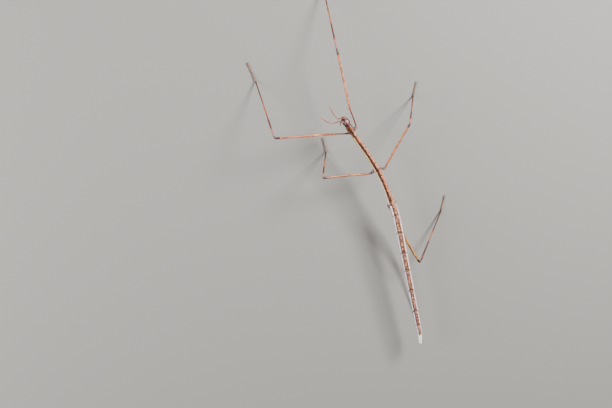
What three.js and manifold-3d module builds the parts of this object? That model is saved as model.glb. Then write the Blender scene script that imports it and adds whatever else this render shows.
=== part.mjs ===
import * as THREE from 'three';
import { mergeVertices } from 'three/addons/utils/BufferGeometryUtils.js';
import Module from 'manifold-3d';

// A slender wingless stick insect, an adult female, at life size in millimetres.
// The floor is z = 0 and +Z is up. The head points to -Y and the insect's left is +X.
// A heading is in degrees from -Y towards the insect's left, and a slope is in degrees upwards.

const wasm = await Module();
wasm.setup();

// ---- Driving dimensions ----

const seam = 0.08; // clear space between two neighbouring parts
const floorZ = 0;
const hipHeight = 11.8; // height of the trunk's axis over the hind hips

// Trunk sections from the neck to the tail. The heading and slope point towards the head.
// front and rear are half widths, and roll lifts the insect's left side.
const trunk = [
  { name: 'prothorax', length: 3.0, heading: 21, slope: 6, roll: 16, front: 1.4, rear: 1.42 },
  { name: 'mesothorax', length: 17.8, heading: 21.9, slope: 4.2, roll: 16, front: 1.14, rear: 1.36 },
  { name: 'metathorax', length: 14.1, heading: 11.5, slope: 3.2, roll: 14, front: 1.3, rear: 1.5 },
  { name: 'abdomen_1', length: 4.3, heading: 7.0, slope: 2.6, roll: 8, front: 1.48, rear: 1.5 },
  { name: 'abdomen_2', length: 7.0, heading: 1.5, slope: 2.5, roll: 3, front: 1.5, rear: 1.44 },
  { name: 'abdomen_3', length: 8.1, heading: 0.1, slope: 2.8, roll: 1, front: 1.42, rear: 1.34 },
  { name: 'abdomen_4', length: 7.0, heading: 0.2, slope: 3, roll: 0, front: 1.32, rear: 1.28 },
  { name: 'abdomen_5', length: 8.1, heading: 0.1, slope: 2.8, roll: 0, front: 1.26, rear: 1.22 },
  { name: 'abdomen_6', length: 8.5, heading: 0.1, slope: 2.7, roll: 0, front: 1.2, rear: 1.14 },
  { name: 'abdomen_7', length: 5.5, heading: -0.1, slope: 2.1, roll: 0, front: 1.1, rear: 1.02 },
  { name: 'abdomen_8', length: 2.4, heading: 0, slope: 1.4, roll: 0, front: 0.98, rear: 0.94 },
  { name: 'abdomen_9', length: 1.8, heading: -4, slope: 1, roll: 0, front: 0.9, rear: 0.82 },
  { name: 'abdomen_10', length: 3.2, heading: -8.6, slope: 0, roll: 0, front: 0.8, rear: 0.5 },
];
const trunkFlatness = 0.88; // height of a trunk section over its width
const thoraxWaist = 0.1; // how much the long thorax sections narrow in the middle
const ridgeHeight = 0.06; // the keel along the back
const trunkSides = 12;
const cercusLength = 1.25;

const head = { length: 3.55, heading: 20.7, slope: 4, width: 1.46, height: 1.14, droop: 1.2 };
const eye = { radius: 0.5, along: 0.39, angle: 54, sink: 0.26 };
const brow = { along: 0.52, angle: 38 };
const palp = { radius: 0.26 };
const antennaRadius = { scape: 0.36, pedicel: 0.3, flagellum: 0.27, tip: 0.25 };

// Each palp leaves the mouth and bends back along the cheek: lengths with headings and slopes.
const palps = [
  { name: 'palp_l', side: 1, bends: [[0.6, 125, -24], [1.0, 162, -4], [0.8, 172, 8]] },
  { name: 'palp_r', side: -1, bends: [[0.7, -150, -38], [1.0, -168, -10]] },
];

// Each antenna leaves the brow and bends to the left: lengths with headings and slopes.
const antennae = [
  {
    name: 'antenna_l',
    side: 1,
    bends: [[1.2, 76, 23], [1.2, 67, 22], [0.9, 89, 19], [1.8, 89, 15], [1.8, 60, 9], [3.6, 45, 2]],
  },
  {
    name: 'antenna_r',
    side: -1,
    bends: [[1.4, 53, 30], [1.5, 66, 24], [1.3, 80, 17], [1.3, 41, 9], [2.1, 21, 5], [2.4, 16, 2]],
  },
];

// Sizes of each pair of legs. base is the slender root of the thigh and thin its half width.
// thigh is the half width beyond it, and bow is how far the thigh curves towards the body.
const legSizes = {
  fore: {
    coxa: 1.6, base: 7.1, femur: 22.3, tibia: 27.9, tarsus: 7.4,
    thin: 0.34, thigh: 0.54, bow: 0,
  },
  mid: {
    coxa: 2.3, base: 1.4, femur: 17.8, tibia: 18.7, tarsus: 5.2,
    thin: 0.42, thigh: 0.5, bow: 0.1,
  },
  hind: {
    coxa: 3.9, base: 1.6, femur: 21.3, tibia: 21.9, tarsus: 5.6,
    thin: 0.46, thigh: 0.6, bow: 0.68,
  },
};

// How each leg is held. The hip sits on a trunk section, at a share of its length, an angle from
// the back and a reach in half widths of the trunk. Each stretch has a heading and slope, and the
// shin's slope brings it to the floor. arch is how far the thigh's slender root curves away from
// the body.
const legs = [
  {
    name: 'fore_l', size: 'fore', section: 'prothorax',
    along: 0.86, around: 122, reach: 0.5, arch: 0.1,
    coxa: [115.8, -54.0], base: [71.9, 42.4], femur: [80.2, 8.0], tibia: 4.9, tarsus: 12,
  },
  {
    name: 'fore_r', size: 'fore', section: 'prothorax',
    along: 0.93, around: -122, reach: 1.0, arch: 0.1,
    coxa: [-48.2, -12.0], base: [9.6, 11.1], femur: [1.3, 5.1], tibia: -3.9, tarsus: -4,
  },
  {
    name: 'mid_l', size: 'mid', section: 'mesothorax',
    along: 0.95, around: 118, reach: 0.75, arch: 0,
    coxa: [123.2, -34.6], base: [81.1, 17.8], femur: [78.9, 19.6], tibia: -32.8, tarsus: 2,
  },
  {
    name: 'mid_r', size: 'mid', section: 'mesothorax',
    along: 0.95, around: -118, reach: 0.75, arch: 0,
    coxa: [-115.1, -3.7], base: [-35.7, 12.7], femur: [-38.7, 13.4], tibia: -37.5, tarsus: -24,
  },
  {
    name: 'hind_l', size: 'hind', section: 'metathorax',
    along: 0.96, around: 118, reach: 0.98, arch: 0,
    coxa: [-158.3, -40.9], base: [-172.8, -24.2], femur: [-175.8, -14.2], tibia: 181.1, tarsus: 181,
  },
  {
    name: 'hind_r', size: 'hind', section: 'metathorax',
    along: 0.92, around: -118, reach: 1.36, arch: 0,
    coxa: [159.0, -13.2], base: [-170.6, -7.5], femur: [-164.4, -3.1], tibia: -40.9, tarsus: -24,
  },
];
const legSides = 8;
const footSides = 6;
const shinWidth = { knee: 0.42, ankle: 0.3 };
const kneeBend = 0.85; // radius of the shin's bend just below the knee
const ankleHeight = 0.5;
const footRadius = 0.28;
const footShares = [0.42, 0.17, 0.12, 0.09, 0.2]; // the five joints of a foot
const claw = { length: 0.75, radius: 0.17, spread: 34 };

const colours = {
  back: 0xb9774c,
  face: 0xc9927a,
  eye: 0x3a2a22,
  feeler: 0xb07c66,
  thigh: 0xe29a64,
  shin: 0xb47b66,
  foot: 0x9a6a55,
  tail: 0xe9dccb,
};

// ---- Directions and frames ----

const radians = THREE.MathUtils.degToRad;
const upward = new THREE.Vector3(0, 0, 1);

function direction(heading, slope) {
  const level = Math.cos(radians(slope));
  return new THREE.Vector3(
    Math.sin(radians(heading)) * level,
    -Math.cos(radians(heading)) * level,
    Math.sin(radians(slope)),
  );
}

// A frame that travels along a curve: side x along = up, and roll lifts the side.
function frameAt(point, along, upHint, roll = 0) {
  const side = new THREE.Vector3().crossVectors(along, upHint).normalize();
  side.applyAxisAngle(along, radians(roll) * -1);
  const up = new THREE.Vector3().crossVectors(side, along).normalize();
  return { point, along, side, up };
}

function offset(frame, sideways, upwards, forwards = 0) {
  return frame.point.clone()
    .addScaledVector(frame.side, sideways)
    .addScaledVector(frame.up, upwards)
    .addScaledVector(frame.along, forwards);
}

// A smooth curve from a start through bends, each a length with a heading and slope.
function bentCurve(start, bends) {
  const points = [start];
  for (const [length, heading, slope] of bends) {
    points.push(points.at(-1).clone().addScaledVector(direction(heading, slope), length));
  }
  return new THREE.CatmullRomCurve3(points, false, 'centripetal');
}

// ---- Solids ----

// A closed tube: a capped cylinder whose rings are carried to the frames of a curve. stops are
// the rings' places, frame(u) is the curve's frame and shape(u, angle) gives [width, height].
// turn is the angle of the first corner from the back.
function tube(stops, sides, frame, shape, turn = 0) {
  const rows = stops.length - 1;
  const form = new THREE.CylinderGeometry(1, 1, 1, sides, rows, false, turn);
  const place = form.attributes.position;
  const frames = stops.map(frame);
  for (let i = 0; i < place.count; i += 1) {
    const row = Math.round((place.getY(i) + 0.5) * rows);
    const x = place.getX(i);
    const z = place.getZ(i);
    const [width, height] = shape(stops[row], Math.atan2(x, z));
    const moved = offset(frames[row], x * width, z * height);
    place.setXYZ(i, moved.x, moved.y, moved.z);
  }
  return tidy(form);
}

function tidy(form) {
  form.deleteAttribute('normal');
  form.deleteAttribute('uv');
  return mergeVertices(form, 1e-4);
}

function toSolid(form) {
  return new wasm.Manifold(new wasm.Mesh({
    numProp: 3,
    vertProperties: new Float32Array(form.attributes.position.array),
    triVerts: new Uint32Array(form.index.array),
  }));
}

function fromSolid(solid) {
  const mesh = solid.getMesh();
  const form = new THREE.BufferGeometry();
  form.setAttribute('position', new THREE.BufferAttribute(mesh.vertProperties, 3));
  form.setIndex(new THREE.BufferAttribute(mesh.triVerts, 1));
  return form;
}

// Takes the other forms away and keeps the largest piece that is left.
function cut(form, others) {
  let solid = toSolid(form);
  for (const other of others) {
    solid = solid.subtract(toSolid(other));
  }
  const pieces = solid.decompose().sort((first, second) => second.volume() - first.volume());
  return fromSolid(pieces[0]);
}

function join(forms) {
  let solid = toSolid(forms[0]);
  for (const other of forms.slice(1)) {
    solid = solid.add(toSolid(other));
  }
  return fromSolid(solid);
}

function evenStops(count, from = 0, to = 1) {
  return Array.from({ length: count + 1 }, (_, i) => from + (to - from) * i / count);
}

const insect = new THREE.Group();

function addPart(name, form, colour, roughness = 0.6) {
  const shown = form.index ? form.toNonIndexed() : form;
  shown.computeVertexNormals();
  const material = new THREE.MeshStandardMaterial({ color: colour, roughness, metalness: 0 });
  const mesh = new THREE.Mesh(shown, material);
  mesh.name = name;
  insect.add(mesh);
}

// ---- Trunk ----

// The joints between sections, measured both ways from the back of the metathorax.
function trunkJoints() {
  const hips = trunk.findIndex((section) => section.name === 'metathorax') + 1;
  const joints = new Array(trunk.length + 1);
  joints[hips] = new THREE.Vector3(0, 0, hipHeight);
  for (let i = hips; i > 0; i -= 1) {
    const { heading, slope, length } = trunk[i - 1];
    joints[i - 1] = joints[i].clone().addScaledVector(direction(heading, slope), length);
  }
  for (let i = hips; i < trunk.length; i += 1) {
    const { heading, slope, length } = trunk[i];
    joints[i + 1] = joints[i].clone().addScaledVector(direction(heading, slope), -length);
  }
  return joints;
}

const spine = new THREE.CatmullRomCurve3(trunkJoints(), false, 'centripetal');

function rollAt(place) {
  const last = trunk.length - 1;
  const centred = THREE.MathUtils.clamp(place - 0.5, 0, last);
  const before = Math.floor(centred);
  const after = Math.min(before + 1, last);
  return THREE.MathUtils.lerp(trunk[before].roll, trunk[after].roll, centred - before);
}

// place counts sections: 2.5 is the middle of the third one.
function trunkFrame(place) {
  const t = place / trunk.length;
  return frameAt(spine.getPoint(t), spine.getTangent(t), upward, rollAt(place));
}

// Half width of a section: narrowed at its front rim, flared at its rear rim.
function sectionWidth(section, share) {
  const straight = THREE.MathUtils.lerp(section.front, section.rear, share);
  const isThorax = section.name.startsWith('meso') || section.name.startsWith('meta');
  const waist = isThorax ? thoraxWaist * Math.sin(Math.PI * share) ** 2 : 0;
  const frontRim = 0.06 * (1 - THREE.MathUtils.smoothstep(share, 0, 0.08));
  const rearRim = 0.05 * THREE.MathUtils.smoothstep(share, 0.84, 0.97);
  return straight * (1 - waist - frontRim + rearRim);
}

function sectionForm(index, swell = 0) {
  const section = trunk[index];
  const rim = seam / 2 / section.length;
  const isLong = section.length > 10;
  const inner = isLong ? [0.07, 0.25, 0.5, 0.75, 0.88, 0.96] : [0.1, 0.45, 0.84, 0.95];
  const stops = [rim, ...inner, 1 - rim].map((share) => index + share);
  const tapers = section.name === 'abdomen_10';
  const shape = (place, angle) => {
    const share = place - index;
    const width = sectionWidth(section, share) + swell;
    const keel = Math.abs(angle) < 0.1 ? ridgeHeight : 0;
    const tip = tapers ? 1 - 0.35 * share ** 2 : 1;
    return [width, width * trunkFlatness * tip + keel];
  };
  return tube(stops, trunkSides, trunkFrame, shape);
}

function placeOf(name, along) {
  return trunk.findIndex((section) => section.name === name) + along;
}

function addTrunk() {
  trunk.forEach((section, index) => {
    const colour = section.name === 'abdomen_10' ? colours.tail : colours.back;
    addPart(section.name, sectionForm(index), colour);
  });
}

// The keeled plate under the tail that guides the eggs, and the two short cerci beside it.
function addTail() {
  const front = placeOf('abdomen_8', 0.1);
  const rear = placeOf('abdomen_10', 0.35);
  const under = (place) => {
    const frame = trunkFrame(place);
    const section = trunk[Math.min(Math.floor(place), trunk.length - 1)];
    const depth = sectionWidth(section, place % 1) * trunkFlatness + 0.36;
    return { ...frame, point: offset(frame, 0, -depth) };
  };
  const hull = (place) => {
    const share = (place - front) / (rear - front);
    const swell = Math.sin(Math.PI * (0.2 + 0.7 * share));
    return [0.24 + 0.42 * swell, 0.14 + 0.14 * swell];
  };
  const above = [7, 8, 9].map((step) => sectionForm(placeOf('abdomen_1', step), seam));
  const plate = tube(evenStops(7, front, rear), 8, under, hull);
  addPart('operculum', cut(plate, above), colours.tail);

  for (const side of [1, -1]) {
    const root = trunkFrame(placeOf('abdomen_10', 0.72));
    const along = root.along.clone().addScaledVector(root.side, side * 0.12).normalize();
    const start = offset(root, side * 0.34, -0.3);
    const frame = (u) => frameAt(start.clone().addScaledVector(along, cercusLength * u), along, root.up);
    const cone = tube(evenStops(4), 6, frame, (u) => [0.27 - 0.15 * u ** 2, 0.27 - 0.15 * u ** 2]);
    const name = side > 0 ? 'cercus_l' : 'cercus_r';
    addPart(name, cut(cone, [sectionForm(trunk.length - 1, seam)]), colours.tail);
  }
}

// ---- Head ----

// Points of the skull's axis: a share of the head's length and a drop in shares of its droop.
const skullProfile = [[0.02, 0], [0.3, 0.05], [0.62, -0.05], [0.86, -0.4], [1, -1]];

// The skull's axis runs from the neck to the mouth, level over the crown and down the face.
function skullCurve() {
  const neck = trunkFrame(0).point;
  const ahead = direction(head.heading, head.slope);
  const across = new THREE.Vector3().crossVectors(upward, ahead);
  const lift = new THREE.Vector3().crossVectors(ahead, across).normalize();
  const points = skullProfile.map(([share, drop]) => neck.clone()
    .addScaledVector(ahead, head.length * share)
    .addScaledVector(lift, head.droop * drop));
  return new THREE.CatmullRomCurve3(points, false, 'centripetal');
}

const skull = skullCurve();

function skullFrame(u) {
  const along = skull.getTangentAt(u);
  return frameAt(skull.getPointAt(u), along, upward, -trunk[0].roll);
}

function skullSize(u) {
  const crown = 1 - 0.28 * (1 - u / 0.4) ** 2;
  const face = 1 - 0.62 * ((u - 0.4) / 0.6) ** 2;
  const size = u < 0.4 ? crown : face;
  return [head.width * size, head.height * size];
}

function eyePlace(side) {
  const frame = skullFrame(eye.along);
  const [width, height] = skullSize(eye.along);
  const angle = radians(eye.angle);
  return offset(
    frame,
    -side * (width - eye.sink) * Math.sin(angle),
    (height - eye.sink) * Math.cos(angle),
  );
}

function eyeBall(side, radius) {
  const ball = new THREE.SphereGeometry(radius, 12, 8);
  const centre = eyePlace(side);
  ball.translate(centre.x, centre.y, centre.z);
  return tidy(ball);
}

function browPlace(side) {
  const frame = skullFrame(brow.along);
  const [width, height] = skullSize(brow.along);
  const angle = radians(brow.angle);
  return offset(frame, -side * width * Math.sin(angle) * 0.8, height * Math.cos(angle) * 0.8);
}

// The rings of the skull, as shares of its axis.
const skullStops = [0, 0.08, 0.2, 0.34, 0.48, 0.62, 0.75, 0.87, 0.96, 1];

function skullForm(swell = 0) {
  const shape = (u) => skullSize(u).map((size) => size + swell);
  return tube(skullStops, trunkSides, skullFrame, shape);
}

function addHead() {
  const sockets = [1, -1].map((side) => eyeBall(side, eye.radius + seam));
  addPart('head', cut(skullForm(), sockets), colours.face);
  addPart('eye_l', eyeBall(1, eye.radius), colours.eye, 0.25);
  addPart('eye_r', eyeBall(-1, eye.radius), colours.eye, 0.25);
  addMouth();
}

// The upper lip and jaws hang in front of and under the face, with a palp on each side.
function addMouth() {
  const mouth = skullFrame(1);
  const lipFrame = (u) => frameAt(offset(mouth, 0, -0.1, 0.06 + 0.62 * u), mouth.along, mouth.up);
  const lip = tube(evenStops(4), 8, lipFrame, (u) => [0.52 - 0.2 * u ** 2, 0.42 - 0.2 * u ** 2]);
  const around = skullForm(seam);
  addPart('mouthparts', cut(lip, [around]), colours.face);

  for (const { name, side, bends } of palps) {
    const curve = bentCurve(offset(skullFrame(0.9), -side * 0.62, -0.55), bends);
    const frame = (u) => frameAt(curve.getPointAt(u), curve.getTangentAt(u), upward);
    const feeler = tube(evenStops(6), 6, frame, () => [palp.radius, palp.radius]);
    addPart(name, cut(feeler, [around, inflatedLip(mouth)]), colours.feeler);
  }
}

function inflatedLip(mouth) {
  const frame = (u) => frameAt(offset(mouth, 0, -0.1, 0.7 * u), mouth.along, mouth.up);
  return tube([0, 1], 8, frame, () => [0.52 + seam, 0.42 + seam]);
}

function addAntennae() {
  for (const { name, side, bends } of antennae) {
    const curve = bentCurve(browPlace(side), bends);
    const frame = (u) => frameAt(curve.getPointAt(u), curve.getTangentAt(u), upward);
    const radius = (u) => {
      if (u < 0.1) return antennaRadius.scape;
      if (u < 0.16) return antennaRadius.pedicel;
      return THREE.MathUtils.lerp(antennaRadius.flagellum, antennaRadius.tip, u);
    };
    const stops = [0, 0.04, 0.09, 0.11, 0.15, 0.17, ...evenStops(16, 0.22, 1)];
    const feeler = tube(stops, 6, frame, (u) => [radius(u), radius(u)]);
    addPart(name, cut(feeler, [skullForm(seam)]), colours.feeler);
  }
}

// ---- Legs ----

function hipPoint(leg) {
  const place = placeOf(leg.section, leg.along);
  const frame = trunkFrame(place);
  const width = sectionWidth(trunk[Math.floor(place)], place % 1) * leg.reach;
  const angle = radians(leg.around);
  const height = width * trunkFlatness;
  return offset(frame, Math.sin(angle) * width, Math.cos(angle) * height);
}

// The whole leg's joints: hip, end of the coxa, end of the thin base, knee and ankle.
function legJoints(leg) {
  const size = legSizes[leg.size];
  const hip = hipPoint(leg);
  const stifle = hip.clone().addScaledVector(direction(...leg.coxa), size.coxa);
  const thighRoot = stifle.clone().addScaledVector(direction(...leg.base), size.base);
  const knee = thighRoot.clone().addScaledVector(direction(...leg.femur), size.femur);
  const fall = Math.asin((knee.z - ankleHeight) / size.tibia);
  const shin = direction(leg.tibia, -THREE.MathUtils.radToDeg(fall));
  const ankle = knee.clone().addScaledVector(shin, size.tibia);
  const thigh = direction(...leg.femur);
  const hipFold = between(direction(...leg.coxa), direction(...leg.base));
  const ankleFold = between(shin, direction(leg.tarsus, 0));
  return { size, hip, stifle, thighRoot, knee, ankle, shin, thigh, hipFold, ankleFold };
}

// The direction half way between two others: the rims of two parts that meet there face along it.
function between(first, second) {
  return first.clone().add(second).normalize();
}

function coxaForm(leg, joints) {
  const along = direction(...leg.coxa);
  const { hip, stifle, hipFold } = joints;
  const end = stifle.clone().addScaledVector(hipFold, -seam / 2);
  const frame = (u) => frameAt(hip.clone().lerp(end, u), u < 1 ? along : hipFold, upward);
  const girth = [[0, 0.66], [0.3, 0.68], [0.58, 0.56], [0.66, 0.44], [0.8, 0.48], [1, 0.42]];
  const radius = (u) => girth.find(([at]) => Math.abs(at - u) < 1e-6)[1];
  return tube(girth.map(([at]) => at), legSides, frame, (u) => [radius(u), radius(u)]);
}

function femurForm(leg, joints) {
  const { size, stifle, thighRoot, knee, thigh, shin, hipFold } = joints;
  const inward = new THREE.Vector3().crossVectors(thigh, upward).normalize();
  if (leg.around * inward.x > 0) inward.negate();
  const bowed = (share) => thighRoot.clone().lerp(knee, share)
    .addScaledVector(inward, size.bow * Math.sin(Math.PI * share));
  const arched = (share) => stifle.clone().lerp(thighRoot, share)
    .addScaledVector(inward, -leg.arch * Math.sin(Math.PI * share));
  const curve = new THREE.CatmullRomCurve3([
    stifle.clone().addScaledVector(hipFold, seam / 2),
    arched(0.3),
    arched(0.65),
    thighRoot,
    bowed(0.25),
    bowed(0.5),
    bowed(0.75),
    knee.clone().addScaledVector(thigh, -seam / 2),
  ], false, 'centripetal');
  const outer = new THREE.Vector3().crossVectors(shin, thigh).normalize();
  const frame = (u) => {
    const along = u > 0 ? curve.getTangentAt(u) : hipFold;
    const facing = u < 1 ? along : thigh;
    return frameAt(curve.getPointAt(u), facing, new THREE.Vector3().crossVectors(outer, facing));
  };
  const swellFrom = size.base / (size.base + size.femur);
  const root = leg.size === 'fore' ? [0.2, 0.4, 0.6, 0.8, 0.92, 1, 1.08] : [0.5, 1, 1.6];
  const stops = [0, ...root.map((at) => at * swellFrom), 0.35, 0.5, 0.7, 0.86, 0.93, 0.98, 1];
  const radius = (u) => {
    const grown = THREE.MathUtils.smoothstep(u, swellFrom * root.at(-3), swellFrom * root.at(-1));
    const slimmed = 0.1 * THREE.MathUtils.smoothstep(u, 0.3, 0.86);
    const kneeKnob = 0.12 * THREE.MathUtils.smoothstep(u, 0.88, 0.95);
    const rounded = 0.16 * THREE.MathUtils.smoothstep(u, 0.975, 1);
    return THREE.MathUtils.lerp(size.thin, size.thigh, grown) * (1 - slimmed + kneeKnob - rounded);
  };
  return tube(stops, legSides, frame, (u) => [radius(u) * 0.94, radius(u)]);
}

// The shin leaves the knee in the thigh's line and turns down within its first millimetres.
function tibiaForm(leg, joints) {
  const { size, knee, ankle, thigh, shin, ankleFold } = joints;
  const start = knee.clone().addScaledVector(thigh, seam / 2);
  const turned = knee.clone().addScaledVector(thigh, kneeBend * 0.9).addScaledVector(shin, kneeBend);
  const curve = new THREE.CatmullRomCurve3([
    start,
    start.clone().addScaledVector(thigh, kneeBend * 0.45),
    turned,
    turned.clone().lerp(ankle, 0.12),
    turned.clone().lerp(ankle, 0.5),
    ankle.clone().addScaledVector(ankleFold, -seam / 2),
  ], false, 'centripetal');
  const outer = new THREE.Vector3().crossVectors(shin, thigh).normalize();
  const facing = (u) => {
    if (u === 0) return thigh;
    return u < 1 ? curve.getTangentAt(u) : ankleFold;
  };
  const frame = (u) => {
    const along = facing(u);
    return frameAt(curve.getPointAt(u), along, new THREE.Vector3().crossVectors(outer, along));
  };
  const turn = kneeBend * 2 / size.tibia;
  const bend = [0, 0.25, 0.5, 0.75, 1, 1.6].map((at) => at * turn);
  const stops = [...bend, 0.2, 0.4, 0.6, 0.8, 0.92, 0.97, 1];
  const lobe = leg.size === 'mid' ? 0.2 : 0;
  const shape = (u) => {
    const thinned = THREE.MathUtils.smoothstep(u, 0.05, 0.7);
    const slim = THREE.MathUtils.lerp(shinWidth.knee, shinWidth.ankle, thinned);
    const spurs = 0.06 * THREE.MathUtils.smoothstep(u, 0.9, 0.98);
    const bump = lobe * Math.exp(-(((u - turn * 1.6) / 0.06) ** 2));
    return [slim + spurs, slim + spurs + bump];
  };
  return tube(stops, legSides, frame, shape);
}

// Five joints that lie on the floor, each with a flat pad, ending in a pair of claws.
function tarsusForm(leg, joints) {
  const { size, ankle, ankleFold } = joints;
  const heading = direction(leg.tarsus, 0);
  const start = ankle.clone().addScaledVector(ankleFold, seam / 2);
  const stops = [0];
  let reached = 0;
  for (const share of footShares) {
    stops.push(reached + share * 0.3, reached + share * 0.75, reached + share);
    reached += share;
  }
  const frame = (u) => {
    const settled = THREE.MathUtils.smoothstep(u, 0, footShares[0]);
    const raised = 0.1 * THREE.MathUtils.smoothstep(u, 0.85, 1);
    const point = start.clone().addScaledVector(heading, size.tarsus * u);
    point.z = THREE.MathUtils.lerp(start.z, footRadius * 0.85, settled) + raised;
    const lean = heading.clone().lerp(ankleFold, 1 - settled).normalize();
    return frameAt(point, lean, upward);
  };
  const ends = stops.filter((_, i) => i % 3 === 0);
  const radius = (u) => (ends.some((end) => Math.abs(end - u) < 1e-6) ? footRadius * 0.86 : footRadius);
  const foot = tube(stops, footSides, frame, (u) => [radius(u), radius(u)], Math.PI / footSides);
  const tip = frame(1);
  const claws = [1, -1].map((side) => {
    const along = heading.clone().applyAxisAngle(upward, radians(side * claw.spread));
    const clawFrame = (u) => {
      const point = tip.point.clone().addScaledVector(along, claw.length * u - 0.12);
      point.z += 0.1 * Math.sin(Math.PI * u) - 0.16 * u;
      return frameAt(point, along, upward);
    };
    return tube([0, 0.5, 1], 5, clawFrame, (u) => [claw.radius - 0.11 * u, claw.radius - 0.11 * u]);
  });
  return flattenBelow(join([foot, ...claws]));
}

// Everything under the floor is pressed flat against it, as the soft pads of the foot are.
function flattenBelow(form) {
  const place = form.attributes.position;
  for (let i = 0; i < place.count; i += 1) {
    place.setZ(i, Math.max(place.getZ(i), floorZ));
  }
  return form;
}

function addLegs() {
  for (const leg of legs) {
    const joints = legJoints(leg);
    const home = Math.floor(placeOf(leg.section, leg.along));
    const neighbours = [home, home + 1].map((index) => sectionForm(index, seam));
    addPart(`coxa_${leg.name}`, cut(coxaForm(leg, joints), neighbours), colours.shin);
    addPart(`femur_${leg.name}`, femurForm(leg, joints), colours.thigh);
    addPart(`tibia_${leg.name}`, tibiaForm(leg, joints), colours.shin);
    addPart(`tarsus_${leg.name}`, tarsusForm(leg, joints), colours.foot);
  }
}

// ---- Assembly ----

addHead();
addAntennae();
addTrunk();
addTail();
addLegs();

// The origin is on the floor, under the middle of the insect's outline.
const outline = new THREE.Box3().setFromObject(insect);
const middle = outline.getCenter(new THREE.Vector3());
insect.position.set(-middle.x, -middle.y, 0);
insect.updateMatrixWorld(true);

export default insect;
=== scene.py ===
import math

import bmesh
import bpy
from mathutils import Matrix, Vector


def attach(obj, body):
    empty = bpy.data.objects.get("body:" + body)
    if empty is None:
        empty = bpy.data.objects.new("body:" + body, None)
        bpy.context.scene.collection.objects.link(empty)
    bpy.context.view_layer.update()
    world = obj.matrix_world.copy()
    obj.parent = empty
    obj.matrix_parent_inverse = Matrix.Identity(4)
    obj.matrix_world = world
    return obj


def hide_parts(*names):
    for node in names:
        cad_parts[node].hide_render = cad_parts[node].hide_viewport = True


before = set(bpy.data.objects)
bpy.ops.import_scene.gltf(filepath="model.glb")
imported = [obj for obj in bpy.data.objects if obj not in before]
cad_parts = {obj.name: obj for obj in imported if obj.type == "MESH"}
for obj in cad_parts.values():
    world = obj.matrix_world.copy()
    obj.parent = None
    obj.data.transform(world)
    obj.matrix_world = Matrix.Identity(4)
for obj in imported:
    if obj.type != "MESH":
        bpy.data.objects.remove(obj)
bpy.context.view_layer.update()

# A life-size stick insect. Lengths are in mm and angles in degrees, unless a note says otherwise
mm = 0.001
nearly = 1e-4     # mm, less than any two points are apart
lineSteps = 10    # steps of a smooth line between two of its points
print("frame loaded")


# Directions: a heading runs from -Y towards the insect's left, and a slope runs upwards

def toward(heading, slope):
    turn, rise = math.radians(heading), math.radians(slope)
    level = math.cos(rise)
    return Vector((math.sin(turn) * level, -math.cos(turn) * level, math.sin(rise)))


def smoothStep(value, low, high):
    share = min(max((value - low) / (high - low), 0), 1)
    return share * share * (3 - 2 * share)


def ramp(value, height, low, high):
    return height * smoothStep(value, low, high)


def bump(value, height, place, width):
    return height * math.exp(-((value - place) / width) ** 2)


def blendOf(first, second, share):
    return first + (second - first) * share


def smoothLine(points, steps=lineSteps):
    # a smooth line through the points
    line = [points[0].copy()]
    for i in range(len(points) - 1):
        b, c = points[i], points[i + 1]
        a = points[i - 1] if i else b * 2 - c
        d = points[i + 2] if i + 2 < len(points) else c * 2 - b
        ab, bc, cd = ((second - first).length ** 0.5 for first, second in ((a, b), (b, c), (c, d)))
        leave = ((b - a) / ab - (c - a) / (ab + bc) + (c - b) / bc) * bc
        arrive = ((c - b) / bc - (d - b) / (bc + cd) + (d - c) / cd) * bc
        for k in range(1, steps + 1):
            t = k / steps
            place = b + leave * t + (c * 3 - b * 3 - leave * 2 - arrive) * t * t
            place += (b * 2 - c * 2 + leave + arrive) * t ** 3
            line.append(place)
    return line


def lengthOf(line):
    return sum((second - first).length for first, second in zip(line, line[1:]))


# Making: each limb is grown straight along X from rings, then bent along its own line

def setMode(mode):
    bpy.ops.object.mode_set(mode=mode)


def clearSelection():
    if bpy.context.mode != "OBJECT":
        setMode("OBJECT")
    bpy.ops.object.select_all(action="DESELECT")


def activate(*pieces):
    clearSelection()
    for piece in pieces:
        piece.select_set(True)
    bpy.context.view_layer.objects.active = pieces[0]


def pick(test):
    mesh = bmesh.from_edit_mesh(bpy.context.edit_object.data)
    for vert in mesh.verts:
        vert.select_set(bool(test(vert.co / mm)))
    mesh.select_flush(True)
    bmesh.update_edit_mesh(bpy.context.edit_object.data)


def growTube(name, rings, sides, shift=0.0, groove=1.0):
    # rings are (place along, half width, half height, share of the length), and a groove below 1
    # draws every second side in, which leaves ridges along the limb
    clearSelection()
    bpy.ops.mesh.primitive_circle_add(vertices=sides, radius=mm, rotation=(0, math.pi / 2, 0))
    tube = bpy.context.object
    tube.name = tube.data.name = name
    bpy.ops.object.transform_apply(location=False, rotation=True, scale=True)
    setMode("EDIT")
    if groove < 1:
        turn = math.tau / sides
        pick(lambda at: round(math.atan2(at.z, at.y) / turn) % 2 == 0)
        bpy.ops.transform.resize(value=(1, groove, groove), center_override=(0, 0, 0))
    bpy.ops.mesh.select_all(action="SELECT")
    x, wide, tall, _ = rings[0]
    bpy.ops.transform.resize(value=(1, wide, tall), center_override=(0, 0, 0))
    bpy.ops.transform.translate(value=(x * mm, 0, 0))
    for nextX, nextWide, nextTall, _ in rings[1:]:
        bpy.ops.mesh.extrude_region_move(TRANSFORM_OT_translate={"value": ((nextX - x) * mm, 0, 0)})
        stretch = (1, nextWide / wide, nextTall / tall)
        bpy.ops.transform.resize(value=stretch, center_override=(nextX * mm, 0, 0))
        x, wide, tall = nextX, nextWide, nextTall
    # closes the last ring, which is still selected, and then the first
    bpy.ops.mesh.edge_face_add()
    pick(lambda at: at.x < rings[0][0] + nearly)
    bpy.ops.mesh.edge_face_add()
    bpy.ops.mesh.select_all(action="SELECT")
    bpy.ops.mesh.normals_make_consistent(inside=False)
    setMode("OBJECT")
    noteStraight(tube, rings, sides, shift)
    return tube


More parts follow.
